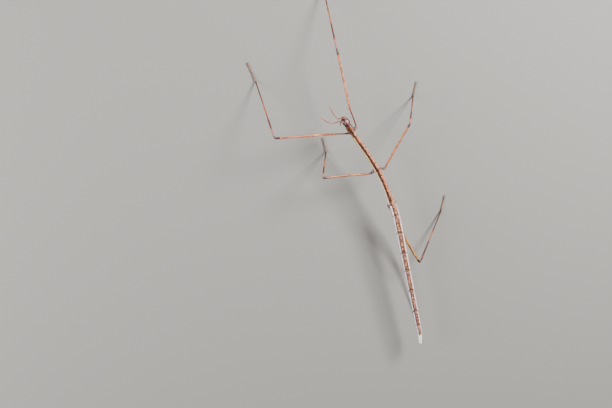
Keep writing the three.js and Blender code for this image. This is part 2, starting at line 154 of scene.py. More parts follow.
def noteStraight(tube, rings, sides, shift):
    # for the patterns: a point's place on the straight limb, moved along by the shift, and its rim:
    # how far it is to the left and to the top, and its share of the length
    straight = tube.data.attributes.new("straight", "FLOAT_VECTOR", "POINT")
    rim = tube.data.attributes.new("rim", "FLOAT_VECTOR", "POINT")
    for i, vert in enumerate(tube.data.vertices):
        _, wide, tall, share = rings[i // sides]
        straight.data[i].vector = vert.co / mm + Vector((shift, 0, 0))
        rim.data[i].vector = (-vert.co.y / mm / wide, vert.co.z / mm / tall, share)


def raiseKeel(tube, height, halfWidth, above):
    # lifts the row of points along the top of the straight tube
    activate(tube)
    setMode("EDIT")
    pick(lambda at: abs(at.y) < halfWidth and at.z > above)
    bpy.ops.transform.translate(value=(0, 0, height * mm))
    setMode("OBJECT")


def finishTube(tube, line, tilts=None):
    # rounds the tube and bends it along the line
    path = bpy.data.curves.new(tube.name + "Path", "CURVE")
    path.dimensions = "3D"
    path.twist_mode = "Z_UP"
    spline = path.splines.new("POLY")
    spline.points.add(len(line) - 1)
    for i, (point, place) in enumerate(zip(spline.points, line)):
        point.co = (*(place * mm), 1)
        point.tilt = math.radians(tilts[i]) if tilts else 0
    guide = bpy.data.objects.new(path.name, path)
    bpy.context.scene.collection.objects.link(guide)
    activate(tube)
    rounding = tube.modifiers.new("rounding", "SUBSURF")
    rounding.levels = rounding.render_levels = 1
    bend = tube.modifiers.new("bend", "CURVE")
    bend.object = guide
    bend.deform_axis = "POS_X"
    for modifier in list(tube.modifiers):
        bpy.ops.object.modifier_apply(modifier=modifier.name)
    bpy.data.objects.remove(guide)
    bpy.ops.object.shade_smooth()


def raiseRim(skin, centre, radius, height, width):
    # a smooth ring on the skin round a socket, or a furrow where the height is below 0
    centre = Vector(centre)
    for vert in skin.data.vertices:
        away = (vert.co / mm - centre).length
        if away < radius + 3 * width:
            vert.co += vert.normal * height * mm * bump(away, 1, radius, width)


def jointRings(ends, radii, profile):
    # half width and height at each ring of a chain of joints, which all have the same profile
    rings = {}
    for start, end, radius in zip(ends, ends[1:], radii):
        for at, factor in profile:
            rings[blendOf(start, end, at)] = (radius * factor, radius * factor)
    return rings


def shapedTube(name, line, stops, size, sides, material, shift=0.0, groove=1.0):
    # stops are the rings' shares of the length, and size gives their half width and height
    length = lengthOf(line)
    rings = [(u * length, *size(u), u) for u in stops]
    tube = growTube(name, rings, sides, shift=shift, groove=groove)
    finishTube(tube, line)
    tube.data.materials.append(material)
    return tube


def joinPieces(name, pieces):
    activate(*pieces)
    bpy.ops.object.join()
    joined = bpy.context.object
    joined.name = joined.data.name = name
    return joined


def settle(piece, slotName, *nodes):
    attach(piece, "root")
    if nodes:
        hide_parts(*nodes)


# Materials

times = {"operation": "MULTIPLY"}
timesPlus = {"operation": "MULTIPLY_ADD"}


def linear(hexColour):
    # an sRGB hex colour as linear light
    channels = [int(hexColour[i:i + 2], 16) / 255 for i in (1, 3, 5)]
    return tuple(c / 12.92 if c <= 0.04045 else ((c + 0.055) / 1.055) ** 2.4 for c in channels) + (1,)


def addNode(tree, kind, inputs=None, settings=None, stops=None, out=0):
    node = tree.nodes.new("ShaderNode" + kind)
    for name, value in (settings or {}).items():
        setattr(node, name, value)
    for key, value in (inputs or {}).items():
        if isinstance(value, bpy.types.NodeSocket):
            tree.links.new(value, node.inputs[key])
        else:
            node.inputs[key].default_value = value
    for i, (place, colour) in enumerate(stops or []):
        blends = node.color_ramp.elements
        stop = blends[i] if i < 2 else blends.new(place)
        stop.position, stop.color = place, linear(colour)
    return node.outputs[out]


def surfaceOf(material):
    return material.node_tree.nodes["Principled BSDF"].inputs


def startMaterial(name, roughness, coat=0.0):
    # 1.56 is the refraction of chitin, and near that of the fibres in paper
    material = bpy.data.materials.new(name)
    material.use_nodes = True
    for key, value in (("IOR", 1.56), ("Roughness", roughness), ("Coat Weight", coat)):
        surfaceOf(material)[key].default_value = value
    return material


def finishMaterial(material, colour, height, depth, strength):
    # gives it the colour, and a relief that is depth mm deep
    tree, surface = material.node_tree, surfaceOf(material)
    relief = addNode(tree, "Bump", {"Height": height, "Distance": depth * mm, "Strength": strength})
    tree.links.new(colour, surface["Base Color"])
    tree.links.new(relief, surface["Normal"])


def stripe(tree, value, low, high, soft, strength=1.0):
    # the strength between low and high, fading out over soft on either side
    eased = {"interpolation_type": "SMOOTHSTEP"}
    rise = addNode(tree, "MapRange", {0: value, 1: low - soft, 2: low}, eased)
    fall = addNode(tree, "MapRange", {0: value, 1: high, 2: high + soft, 3: strength, 4: 0.0}, eased)
    return addNode(tree, "Math", {0: rise, 1: fall}, times)


def layColours(tree, colour, layers):
    # each layer is a hex colour and the shares that say where it lies
    for tint, *shares in layers:
        where = shares[0]
        for share in shares[1:]:
            where = addNode(tree, "Math", {0: where, 1: share}, times)
        colour = addNode(tree, "Mix", {0: where, 6: colour, 7: linear(tint)}, {"data_type": "RGBA"}, out=2)
    return colour


def blotches(tree, place, stretch, scale, detail, shift):
    # clouds of light and dark, drawn out along the limb by a stretch below 1
    grid = addNode(tree, "Mapping", {0: place, "Location": (shift, shift, 0), "Scale": (stretch, 1, 1)})
    return addNode(tree, "TexNoise", {"Vector": grid, "Scale": scale, "Detail": detail, "Roughness": 0.6})


def readLimb(tree):
    # straight place, angle from the top in radians (left is positive), and share of the length
    straight = addNode(tree, "Attribute", settings={"attribute_name": "straight"}, out=1)
    rim = addNode(tree, "Attribute", settings={"attribute_name": "rim"}, out=1)
    side, top, share = (addNode(tree, "SeparateXYZ", {0: rim}, out=i) for i in (0, 1, 2))
    angle = addNode(tree, "Math", {0: side, 1: top}, {"operation": "ARCTAN2"})
    return straight, angle, share


# Head, thorax and abdomen under one skin

# where the eyes, feelers, palps and mouth sit on the head
headPlaces = {
    "eye_l": (2.19, -16.23, 15.12), "eye_r": (0.44, -16.88, 14.58),
    "antenna_l": (2.13, -16.95, 15.17), "antenna_r": (0.85, -17.37, 14.79),
    "palp_l": (2.67, -17.63, 13.38), "palp_r": (1.46, -17.79, 13.18),
    "mouth": (2.16, -18.38, 13.25),
}
bodyDims = {
    "hips": (-9.62, 18.06, 11.8),    # the line runs both ways from here
    # length, heading, slope, roll, front and rear half widths
    "sections": {
        "prothorax": (3.0, 21, 6, 22, 1.4, 1.42),
        "mesothorax": (17.8, 21.9, 4.2, 22, 1.14, 1.36),
        "metathorax": (14.1, 11.5, 3.2, 19, 1.3, 1.5),
        "abdomen_1": (4.3, 7.0, 2.6, 8, 1.48, 1.5),
        "abdomen_2": (7.0, 1.5, 2.5, -5, 1.5, 1.44),
        "abdomen_3": (8.1, 0.1, 2.8, -10, 1.42, 1.34),
        "abdomen_4": (7.0, 0.2, 3, -10, 1.32, 1.28),
        "abdomen_5": (8.1, 0.1, 2.8, -10, 1.26, 1.22),
        "abdomen_6": (8.5, 0.1, 2.7, -10, 1.2, 1.14),
        "abdomen_7": (5.5, -0.1, 2.1, -9, 1.1, 1.02),
        "abdomen_8": (2.4, 0, 1.4, -7, 0.98, 0.94),
        "abdomen_9": (1.8, -4, 1, -4, 0.9, 0.82),
        "abdomen_10": (3.2, -8.6, 0, 0, 0.76, 0.45),
    },
    "sides": 24,
    "flatness": 0.88,    # height over width
    "fit": 0.985,        # keeps the skin just inside the solids
    "keel": (0.05, 0.02, 0.4),    # height, then half width and least height of the row it lifts
    # share of a section's length, and of its width there: rounded in front, flared at the rear
    "shortPlate": (
        (0.012, 0.9), (0.035, 0.965), (0.09, 1.0), (0.25, 1.0), (0.42, 0.995), (0.6, 1.0), (0.76, 1.0),
        (0.86, 1.012), (0.92, 1.03), (0.955, 1.045), (0.98, 1.03), (0.993, 0.97),
    ),
    "longPlate": (
        *((0.005, 0.86), (0.014, 0.94), (0.03, 0.98), (0.06, 0.99)),
        *((k / 20, 1.0) for k in range(2, 18)),
        *((0.9, 1.01), (0.94, 1.03), (0.965, 1.045), (0.985, 1.03), (0.995, 0.95)),
    ),
    "longSections": ("mesothorax", "metathorax"),
    "waist": 0.1,    # how much a long section narrows in the middle
    "tailTaper": 0.35,    # how much flatter the last section gets
    "tailEnd": ((0.03, 0.86), (0.06, 0.6), (0.07, 0.3)),    # rings past the last, and their share of it
    "headLength": 3.55, "headHeading": 20.7, "headSlope": 4,
    "headWidth": 1.44, "headHeight": 1.13,
    "droop": 1.2,    # how far the mouth lies below the line of the crown
    # share of the head's length and of its droop, from the neck to the mouth
    "profile": ((0.02, 0), (0.3, 0.05), (0.62, -0.05), (0.86, -0.4), (1, -1)),
    "mouthRings": ((0.0, 0.3, 0.2, 0.0), (0.03, 0.46, 0.34, 0.01)),
    "skullRings": (31, 0.975, 0.03),    # how many, the first one's share of the length, their spacing
    "skullTaper": (0.4, 0.28, 0.62),    # where it is widest, and how much it tapers to neck and mouth
    "neckRing": (0.05, 0.98, 0.8),    # how far ahead of the neck, half width, half height
    # radius, height and width of the rims round eyes and feelers, then of a crease and a swelling
    # that set off the shield above the mouth
    "sockets": (
        ("eye_l", 0.57, 0.13, 0.13), ("eye_r", 0.57, 0.13, 0.13),
        ("antenna_l", 0.40, 0.12, 0.12), ("antenna_r", 0.40, 0.12, 0.12),
        ("mouth", 0.85, -0.08, 0.1), ("mouth", 0.62, 0.04, 0.12),
    ),
}


def bodyLine():
    # from the mouth over the crown to the tail, and the length reached at each joint
    dims = bodyDims
    sections = list(dims["sections"].values())
    thorax = 3    # sections ahead of the hips
    joints = {thorax: Vector(dims["hips"])}
    for i in range(thorax, 0, -1):
        length, heading, slope = sections[i - 1][:3]
        joints[i - 1] = joints[i] + toward(heading, slope) * length
    for i in range(thorax, len(sections)):
        length, heading, slope = sections[i][:3]
        joints[i + 1] = joints[i] - toward(heading, slope) * length
    trunk = smoothLine([joints[i] for i in range(len(sections) + 1)])
    ahead = toward(dims["headHeading"], dims["headSlope"])
    lift = ahead.cross(Vector((0, 0, 1)).cross(ahead)).normalized()
    skull = smoothLine([
        joints[0] + ahead * dims["headLength"] * share + lift * dims["droop"] * drop
        for share, drop in dims["profile"]
    ])
    line = skull[::-1] + trunk
    neck = lengthOf(skull[::-1] + trunk[:1])
    return line, neck, [neck + lengthOf(trunk[:i * lineSteps + 1]) for i in range(len(sections) + 1)]


def rollOf(place):
    # the roll of the body at a place counted in sections, eased from middle to middle
    rolls = [section[3] for section in bodyDims["sections"].values()]
    centred = min(max(place - 0.5, 0), len(rolls) - 1)
    before = int(centred)
    return blendOf(rolls[before], rolls[min(before + 1, len(rolls) - 1)], centred - before)


def skullSize(u):
    # u is the share of the head's length from the neck
    widest, neckTaper, faceTaper = bodyDims["skullTaper"]
    if u < widest:
        return 1 - neckTaper * (1 - u / widest) ** 2
    return 1 - faceTaper * ((u - widest) / (1 - widest)) ** 2


def bodyRings(neck, joints):
    dims = bodyDims
    rings = list(dims["mouthRings"])
    count, first, spacing = dims["skullRings"]
    for u in [first - spacing * k for k in range(count)]:
        size = skullSize(u)
        rings.append((neck * (1 - u), dims["headWidth"] * size, dims["headHeight"] * size, 1 - u))
    ahead, wide, tall = dims["neckRing"]
    rings.append((neck - ahead, wide, tall, 0.99))
    for i, (name, section) in enumerate(dims["sections"].items()):
        front, rear = section[4:6]
        isLong = name in dims["longSections"]
        for share, flare in dims["longPlate"] if isLong else dims["shortPlate"]:
            width = blendOf(front, rear, share) * flare * dims["fit"]
            if isLong:
                width *= 1 - dims["waist"] * math.sin(math.pi * share) ** 2
            flat = 1 - dims["tailTaper"] * share ** 2 if name == "abdomen_10" else 1
            place = blendOf(joints[i], joints[i + 1], share)
            rings.append((place, width, width * dims["flatness"] * flat, share))
    x, wide, tall, _ = rings[-1]
    rings += [(x + along, wide * size, tall * size, 1.0) for along, size in dims["tailEnd"]]
    return rings


# the strips of the map, and the end caps beside them with their size for each mm
mapDims = {
    "strips": 3, "left": 0.01, "width": 0.96, "low": 0.03, "height": 0.9,
    "capLeft": 0.985, "capWidth": 0.004, "capHeight": 0.01,
}


def bodyMap(skin, length):
    # the tube unrolled into strips that lie above each other
    dims = mapDims
    strips = dims["strips"]
    reach = length / strips
    layer = skin.data.uv_layers.new(name="OFBake")
    for face in skin.data.polygons:
        places = [skin.data.vertices[v].co / mm for v in face.vertices]
        middle = sum(places, Vector()) / len(places)
        strip = min(int(middle.x / reach), strips - 1)
        isCap = len(places) > 4
        turns = [math.atan2(p.y, -p.z) / math.tau + 0.5 for p in places]
        if max(turns) - min(turns) > 0.5:
            turns = [turn + 1 if turn < 0.5 else turn for turn in turns]
        for loop, place, turn in zip(face.loop_indices, places, turns):
            along = (place.x - strip * reach) / reach
            u = dims["left"] + dims["width"] * along
            v = (strip + dims["low"] + dims["height"] * turn) / strips
            if isCap:
                u = dims["capLeft"] + place.y * dims["capWidth"]
                v = (strip + 0.5 + place.z * dims["capHeight"]) / strips
            layer.data[loop].uv = (u, v)


bodyPath, neckPlace, jointPlaces = bodyLine()
rings = bodyRings(neckPlace, jointPlaces)
body = growTube("body_skin", rings, bodyDims["sides"])
raiseKeel(body, *bodyDims["keel"])
bodyMap(body, rings[-1][0])
skullSteps = len(bodyPath) - lineSteps * len(bodyDims["sections"]) - 1
tilts = [-rollOf(max(i - skullSteps, 0) / lineSteps) for i in range(len(bodyPath))]
finishTube(body, bodyPath, tilts)
for place, *rim in bodyDims["sockets"]:
    raiseRim(body, headPlaces[place], *rim)
settle(body, "back", "head", *bodyDims["sections"])
print("body skin made", len(body.data.polygons), "faces")


# Cuticle of the limbs: chitin, grown soft and hardened under a thin wax, so that it shines softly.
# Claws and jaws are tanned almost black and polished; feet, feelers and tail are thinner and paler

# bands are (colour, from, to, fade, strength), in shares of the limb's length
thighBands = [("#6f2a10", 0.0, 0.05, 0.1, 0.6), ("#2e1a20", 0.955, 1.1, 0.015, 0.9)]
shinBands = [
    ("#4a2226", 0.24, 0.34, 0.05, 0.6), ("#c0683a", 0.46, 0.58, 0.06, 0.75),
    ("#331a12", 0.84, 1.1, 0.1, 0.7), ("#2e1a20", -1, 0.03, 0.03, 0.9),
]
# name, roughness, scale of the clouds, their dark, middle and light colours, and the bands
limbLooks = {
    "coxa": ("coxa cuticle, dull lilac", 0.5, 1.2, ("#2e1718", "#5f3a42", "#a58290"),
             [("#261112", 0.62, 0.72, 0.04, 0.7)]),
    "fore thigh": ("fore thigh cuticle, pale orange", 0.42, 0.7, ("#7c2c08", "#bd5420", "#ec9a66"),
                   [("#6a3018", -1, 0.24, 0.06, 0.75)] + thighBands),
    "mid thigh": ("middle thigh cuticle, clouded orange", 0.42, 0.7, ("#6c2402", "#ae4a04", "#dc8128"),
                  thighBands),
    "hind thigh": ("hind thigh cuticle, yellow brown", 0.42, 0.7, ("#5e2203", "#ad5c0e", "#dc9c38"),
                   thighBands),
    "shin": ("shin cuticle, banded brown", 0.45, 0.6, ("#34110a", "#6f2d16", "#a05832"),
             [("#c0827e", 0.07, 0.15, 0.05, 0.8)] + shinBands),
    # darker than the other shins: partly its own darker brown, and partly painted shade
    "hind shin": ("hind shin cuticle, darker brown", 0.45, 0.6, ("#2a0e08", "#5c2912", "#8f4c28"),
                  [("#7d4a40", 0.07, 0.15, 0.05, 0.6)] + shinBands),
    "foot": ("foot cuticle, brown", 0.5, 1.5, ("#5c3a2c", "#855440", "#a87258"), []),
    "feeler": ("feeler cuticle, pinkish", 0.5, 0.8, ("#5f2e1a", "#924f36", "#be7a5c"), []),
    "tail": ("tail cuticle, pale", 0.5, 1.4, ("#b39a80", "#d9c6ae", "#efe4d4"), []),
    "claw": ("claw horn, dark and polished", 0.25, 2.0, ("#1e120d", "#33201a", "#4a3026"), []),
}
cuticle = {key: startMaterial(*look[:2]) for key, look in limbLooks.items()}


# Legs: coxa, thigh with its thin root, shin and foot under one skin, and the claws

# where a thigh's root grows into the thigh, and its rings there, in shares of the root's length
longRoot = dict(swell=(0.92, 1.08), rings=(0.2, 0.4, 0.6, 0.8, 0.9, 0.95, 1, 1.05, 1.1, 1.2))
shortRoot = dict(swell=(0.4, 1.6), rings=(0.7, 1.2, 1.7))
# lengths of the stretches, radius of the root and of the thigh, how far the root arches out and the
# thigh bows in, and the lobe on the shin
legSizes = {
    "fore": dict(coxa=1.6, base=7.1, femur=22.3, tibia=27.9, tarsus=7.4,
                 thin=0.34, thigh=0.54, arch=0.1, bow=0.0, lobe=0.0, root=longRoot),
    "mid": dict(coxa=2.3, base=1.4, femur=17.8, tibia=18.7, tarsus=5.2,
                thin=0.42, thigh=0.5, arch=0.0, bow=0.1, lobe=0.18, root=shortRoot),
    "hind": dict(coxa=3.9, base=1.6, femur=21.3, tibia=21.9, tarsus=5.6,
                 thin=0.46, thigh=0.6, arch=0.0, bow=0.68, lobe=0.0, root=shortRoot),
}
# the hip's place, heading and slope of coxa, root and thigh, and the headings of shin and foot
legPoses = {
    "fore_l": ((0.64, -12.49, 13.79), (115.8, -54.0), (71.9, 42.4), (80.2, 8.0), 4.9, 12),
    "fore_r": ((-1.00, -12.93, 12.92), (-48.2, -12.0), (9.6, 11.1), (1.3, 5.1), -3.9, -4),
    "mid_l": ((-5.59, 3.75, 12.47), (123.2, -34.6), (81.1, 17.8), (78.9, 19.6), -32.8, 2),
    "mid_r": ((-7.29, 3.16, 11.98), (-115.1, -3.7), (-35.7, 12.7), (-38.7, 13.4), -37.5, -24),
    "hind_l": ((-8.12, 17.87, 11.46), (-158.3, -40.9), (-172.8, -24.2), (-175.8, -14.2), 181.1, 181),
    "hind_r": ((-11.08, 16.91, 10.64), (159.0, -13.2), (-170.6, -7.5), (-164.4, -3.1), -40.9, -24),
}
legShape = {
    "sides": 12, "coxaSides": 16,
    "fit": 0.97,       # keeps the skin just inside the solids
    "groove": 0.82,    # leaves six ridges along thigh and shin
    "overlap": 0.1,    # of each stretch with the next
    "kneeBend": 0.85, "kneeWidth": 0.42, "ankleWidth": 0.3, "ankleHeight": 0.5,
    "thighFlatness": 0.96,
    "footRadius": 0.28, "footJoints": (0, 0.42, 0.59, 0.71, 0.8, 1),    # where its joints begin and end
    # share of a joint's length, and of its radius there: narrow at its root, wide at its end
    "footJoint": ((0.03, 0.72), (0.12, 0.84), (0.45, 0.9), (0.8, 1.0), (0.93, 0.98), (0.985, 0.8)),
    # share of the coxa's length, and its radius there: swollen, then a neck
    "coxaGirth": ((0, 0.5), (0.12, 0.66), (0.35, 0.68), (0.58, 0.56), (0.66, 0.43), (0.72, 0.45),
                  (0.85, 0.49), (1, 0.4)),
    "cloudShift": 60.0,    # so that no two legs are clouded alike
}
# where the rings lie, closer together where a stretch swells or narrows
legRings = {
    "coxa": [0, 0.06, 0.12, 0.22, 0.35, 0.48, 0.58, 0.66, 0.72, 0.85, 0.95, 1],
    "thighStart": [0, 0.005, 0.012, 0.02, 0.03],
    "thighEnd": [0.4, 0.5, 0.6, 0.7, 0.8, 0.87, 0.91, 0.935, 0.95, 0.965, 0.98, 0.99, 1],
    "shin": [0, 0.008, 0.02, 0.035, 0.05, 0.065, 0.085, 0.11, 0.14, 0.17, 0.2, 0.24, 0.3, 0.4,
             0.5, 0.6, 0.7, 0.8, 0.88, 0.93, 0.96, 0.985, 1],
}
# how radii change: by how much, from and to which share of the length, or a bump's place and width.
# How much a shin slims, and how large its lobe is, stand above
thighForm = {
    "slimmer": (0.1, 0.3, 0.86), "knob": (0.1, 0.9, 0.955), "roundEnd": (0.35, 0.985, 1),
    "kneeBump": (0.07, 0.965, 0.012), "rootBump": (0.14, 0.012, 0.01),
}
shinForm = {
    "slimmer": (0.05, 0.7), "spurs": (0.07, 0.93, 0.985),
    "neckBump": (0.04, 0.06, 0.02), "lobeBump": (0.17, 0.05),
}
clawDims = {
    "spread": 34, "sides": 8,
    "radius": 0.13, "taper": 0.85, "tip": 0.01,
    "line": ((-0.1, 0), (0.25, 0.08), (0.5, 0.02), (0.62, -0.13)),    # place ahead, and height
    "steps": 5, "rings": (0, 0.2, 0.45, 0.7, 0.9, 1),
}


def legLines(name):
    # the middle line of each stretch, out of the one before it
    size, overlap, bend = legSizes[name[:-2]], legShape["overlap"], legShape["kneeBend"]
    hipPlace, *aims, shinHeading, footHeading = legPoses[name]
    hip = Vector(hipPlace)
    coxa, base, thigh = (toward(*aim) for aim in aims)
    stifle = hip + coxa * size["coxa"]
    thighRoot = stifle + base * size["base"]
    knee = thighRoot + thigh * size["femur"]
    fall = math.degrees(math.asin((knee.z - legShape["ankleHeight"]) / size["tibia"]))
    shin = toward(shinHeading, -fall)
    ankle = knee + shin * size["tibia"]
    inward = thigh.cross(Vector((0, 0, 1))).normalized()
    if (inward.x > 0) == name.endswith("_l"):
        inward.negate()

    def bowed(start, end, amount, shares):
        return [start.lerp(end, t) + inward * amount * math.sin(math.pi * t) for t in shares]

    points = {"coxa": [hip, hip.lerp(stifle, 0.5), stifle + (coxa + base).normalized() * overlap]}
    points["femur"] = [
        stifle - base * overlap, *bowed(stifle, thighRoot, -size["arch"], (0.3, 0.65)),
        thighRoot, *bowed(thighRoot, knee, size["bow"], (0.25, 0.5, 0.75)), knee + thigh * 0.28,
    ]
    turned = knee + thigh * bend * 0.9 + shin * bend
    points["tibia"] = [
        knee - thigh * 0.25, knee + thigh * bend * 0.45, turned, turned.lerp(ankle, 0.12),
        turned.lerp(ankle, 0.5), ankle + shin * overlap,
    ]
    lines = {stretch: smoothLine(places) for stretch, places in points.items()}
    lines["tarsus"] = footLine(ankle, toward(footHeading, 0), size["tarsus"])
    return lines


def footLine(ankle, heading, length):
    # down to the floor along the first joint, then flat on it, with the tip a little raised
    lying = legShape["footRadius"] * 0.85
    points = []
    for u in (0, 0.1, 0.2, 0.3, 0.42, 0.6, 0.8, 0.92, 1):
        point = ankle + heading * length * u
        point.z = blendOf(ankle.z, lying, smoothStep(u, 0, 0.42)) + ramp(u, 0.1, 0.85, 1)
        points.append(point)
    return smoothLine(points, 4)


def coxaSize(u):
    girth = legShape["coxaGirth"]
    for (low, small), (high, large) in zip(girth, girth[1:]):
        if u <= high:
            radius = blendOf(small, large, (u - low) / (high - low)) * legShape["fit"]
            return radius, radius


def rootShare(sizes):
    return sizes["base"] / (sizes["base"] + sizes["femur"])


def femurSize(sizes):
    # thin along its root, slimmer again towards the knee, and knobbed there
    grown = [rootShare(sizes) * share for share in sizes["root"]["swell"]]
    form = thighForm

    def size(u):
        knob = ramp(u, *form["knob"]) + bump(u, *form["kneeBump"])
        change = 1 - ramp(u, *form["slimmer"]) + knob - ramp(u, *form["roundEnd"])
        change += bump(u, *form["rootBump"])
        radius = blendOf(sizes["thin"], sizes["thigh"], smoothStep(u, *grown)) * change * legShape["fit"]
        return radius * legShape["thighFlatness"], radius
    return size


def tibiaSize(sizes):
    # slimmer towards the ankle, with a neck below the knee, and thicker again at the end
    form = shinForm

    def size(u):
        slim = blendOf(legShape["kneeWidth"], legShape["ankleWidth"], smoothStep(u, *form["slimmer"]))
        radius = (slim + ramp(u, *form["spurs"]) - bump(u, *form["neckBump"])) * legShape["fit"]
        return radius, radius + bump(u, sizes["lobe"], *form["lobeBump"])
    return size


def pressFlat(foot):
    # what would go through the floor lies flat on it
    activate(foot)
    setMode("EDIT")
    pick(lambda at: at.z < 0)
    bpy.ops.transform.resize(value=(1, 1, 0), center_override=(0, 0, 0))
    setMode("OBJECT")


def clawSize(u):
    radius = clawDims["radius"] * (1 - clawDims["taper"] * u) + clawDims["tip"]
    return radius, radius


def makeClaws(name, tip, heading):
    dims = clawDims
    ahead = Vector((heading.x, heading.y, 0)).normalized()
    claws = []
    for side in (1, -1):
        out = Matrix.Rotation(math.radians(dims["spread"] * side), 3, "Z") @ ahead
        points = [tip + out * along + Vector((0, 0, height)) for along, height in dims["line"]]
        line = smoothLine(points, dims["steps"])
        claw = shapedTube(name + str(side), line, dims["rings"], clawSize, dims["sides"], cuticle["claw"])
        claws.append(claw)
    return joinPieces(name, claws)


def makeLeg(name, shift):
    pair = name[:-2]
    sizes, lines, sides = legSizes[pair], legLines(name), legShape["sides"]
    root = rootShare(sizes)
    rootRings = [root * share for share in sizes["root"]["rings"]]
    thighRings = legRings["thighStart"] + rootRings + legRings["thighEnd"]
    footEnds = legShape["footJoints"]
    footRings = jointRings(footEnds, [legShape["footRadius"]] * len(footEnds), legShape["footJoint"])
    coxa = shapedTube("coxa", lines["coxa"], legRings["coxa"], coxaSize, legShape["coxaSides"],
                      cuticle["coxa"], shift)
    femur = shapedTube("femur", lines["femur"], thighRings, femurSize(sizes), sides,
                       cuticle[pair + " thigh"], shift, legShape["groove"])
    tibia = shapedTube("tibia", lines["tibia"], legRings["shin"], tibiaSize(sizes), sides,
                       cuticle["hind shin" if pair == "hind" else "shin"], shift, legShape["groove"])
    foot = shapedTube("foot", lines["tarsus"], list(footRings), footRings.get, sides, cuticle["foot"], shift)
    pressFlat(foot)
    leg = joinPieces("leg_skin_" + name, [coxa, femur, tibia, foot])
    settle(leg, "thigh", *(part + "_" + name for part in ("coxa", "femur", "tibia", "tarsus")))
    tip, before = lines["tarsus"][-1], lines["tarsus"][-3]
    claws = makeClaws("claws_" + name, tip, tip - before)
    pressFlat(claws)
    settle(claws, "foot")


for legNumber, legName in enumerate(legPoses):
    makeLeg(legName, legShape["cloudShift"] * legNumber)
print("legs made")


# Feelers and palps

feelerDims = {
    "radii": {"antenna": (0.34, 0.28, 0.25, 0.23), "palp": (0.24, 0.25, 0.23, 0.2)},
    # where the joints end: an antenna has a long scape, a short pedicel and a whip of sixteen joints
    "joints": {
        "antenna": [0.0, 0.13, 0.18] + [0.18 + 0.82 * k / 16 for k in range(1, 17)],
        "palp": [0.0, 0.3, 0.62, 1.0],
    },
    # share of a joint's length, and of its radius there
    "joint": ((0.06, 0.84), (0.2, 0.95), (0.6, 1.0), (0.88, 1.02), (0.97, 0.9)),
    "rootWidth": 0.8, "tipWidth": 0.45,
    "sides": 10,
}
# length, heading and slope of each stretch
feelerBends = {
    "antenna_l": ((1.2, 76, 23), (1.2, 67, 22), (0.9, 89, 19), (1.8, 89, 15), (1.8, 60, 9), (3.6, 45, 2)),
    "antenna_r": ((1.4, 53, 30), (1.5, 66, 24), (1.3, 80, 17), (1.3, 41, 9), (2.1, 21, 5), (2.4, 16, 2)),
    "palp_l": ((0.6, 125, -24), (1.0, 162, -4), (0.8, 172, 8)),
    "palp_r": ((0.7, -150, -38), (1.0, -168, -10)),
}


def makeFeeler(name):
    dims, kind = feelerDims, name[:-2]
    points = [Vector(headPlaces[name])]
    for length, heading, slope in feelerBends[name]:
        points.append(points[-1] + toward(heading, slope) * length)
    line = smoothLine(points)
    first, second, whipStart, whipEnd = dims["radii"][kind]
    joints = dims["joints"][kind]
    radii = [first, second] + [blendOf(whipStart, whipEnd, end) for end in joints[3:]]
    rings = {0.0: (first * dims["rootWidth"],) * 2, **jointRings(joints, radii, dims["joint"])}
    rings[1.0] = (radii[-1] * dims["tipWidth"],) * 2
    skin = shapedTube(name + "_skin", line, list(rings), rings.get, dims["sides"], cuticle["feeler"])
    settle(skin, "feeler", name)


for feelerName in feelerBends:
    makeFeeler(feelerName)
print("feelers made")


# Eyes

eyeDims = {
    "radius": 0.49,
    "width": 0.94, "length": 1.02,    # shares of the radius
    "buried": 0.2,    # how far behind its centre an eye is cut off flat
    "gazes": {"eye_l": (0.68, 0.25, 0.69), "eye_r": (-0.94, -0.33, 0.10)},
    "edge": 50,    # past this angle an edge stays sharp
}
# the lens is clear chitin over dark pigment: polished, with fine facets that only show close by
eyeLens = startMaterial("compound eye, dark faceted lens", 0.18, coat=0.5)


def makeEye(name):
    # an oval dome, long along the head, cut off flat inside it
    dims = eyeDims
    centre, gaze = Vector(headPlaces[name]), Vector(dims["gazes"][name])
    clearSelection()
    bpy.ops.mesh.primitive_uv_sphere_add(segments=32, ring_count=20, radius=dims["radius"] * mm)
    eye = bpy.context.object
    eye.name = eye.data.name = name + "_lens"
    eye.rotation_euler = (0, 0, math.radians(bodyDims["headHeading"]))
    setMode("EDIT")
    oval = (dims["width"], dims["length"], 1)
    bpy.ops.transform.resize(value=oval, center_override=(0, 0, 0), orient_type="LOCAL")
    setMode("OBJECT")
    eye.location = centre * mm
    bpy.ops.object.transform_apply(location=True, rotation=True, scale=True)
    setMode("EDIT")
    bpy.ops.mesh.select_all(action="SELECT")
    cut = (centre - gaze * dims["buried"]) * mm
    bpy.ops.mesh.bisect(plane_co=cut, plane_no=gaze, use_fill=True, clear_inner=True)
    setMode("OBJECT")
    eye.data.validate()    # drops the faces that the cut leaves twice
    setMode("EDIT")
    bpy.ops.mesh.select_all(action="SELECT")
    bpy.ops.mesh.normals_make_consistent(inside=False)
    setMode("OBJECT")
    bpy.ops.object.shade_smooth_by_angle(angle=math.radians(dims["edge"]))
    eye.data.materials.append(eyeLens)
    settle(eye, "eye", name)


for eyeName in eyeDims["gazes"]:
    makeEye(eyeName)
print("eyes made")


# Mouth: an upper and a lower lip, with two curved jaws between them

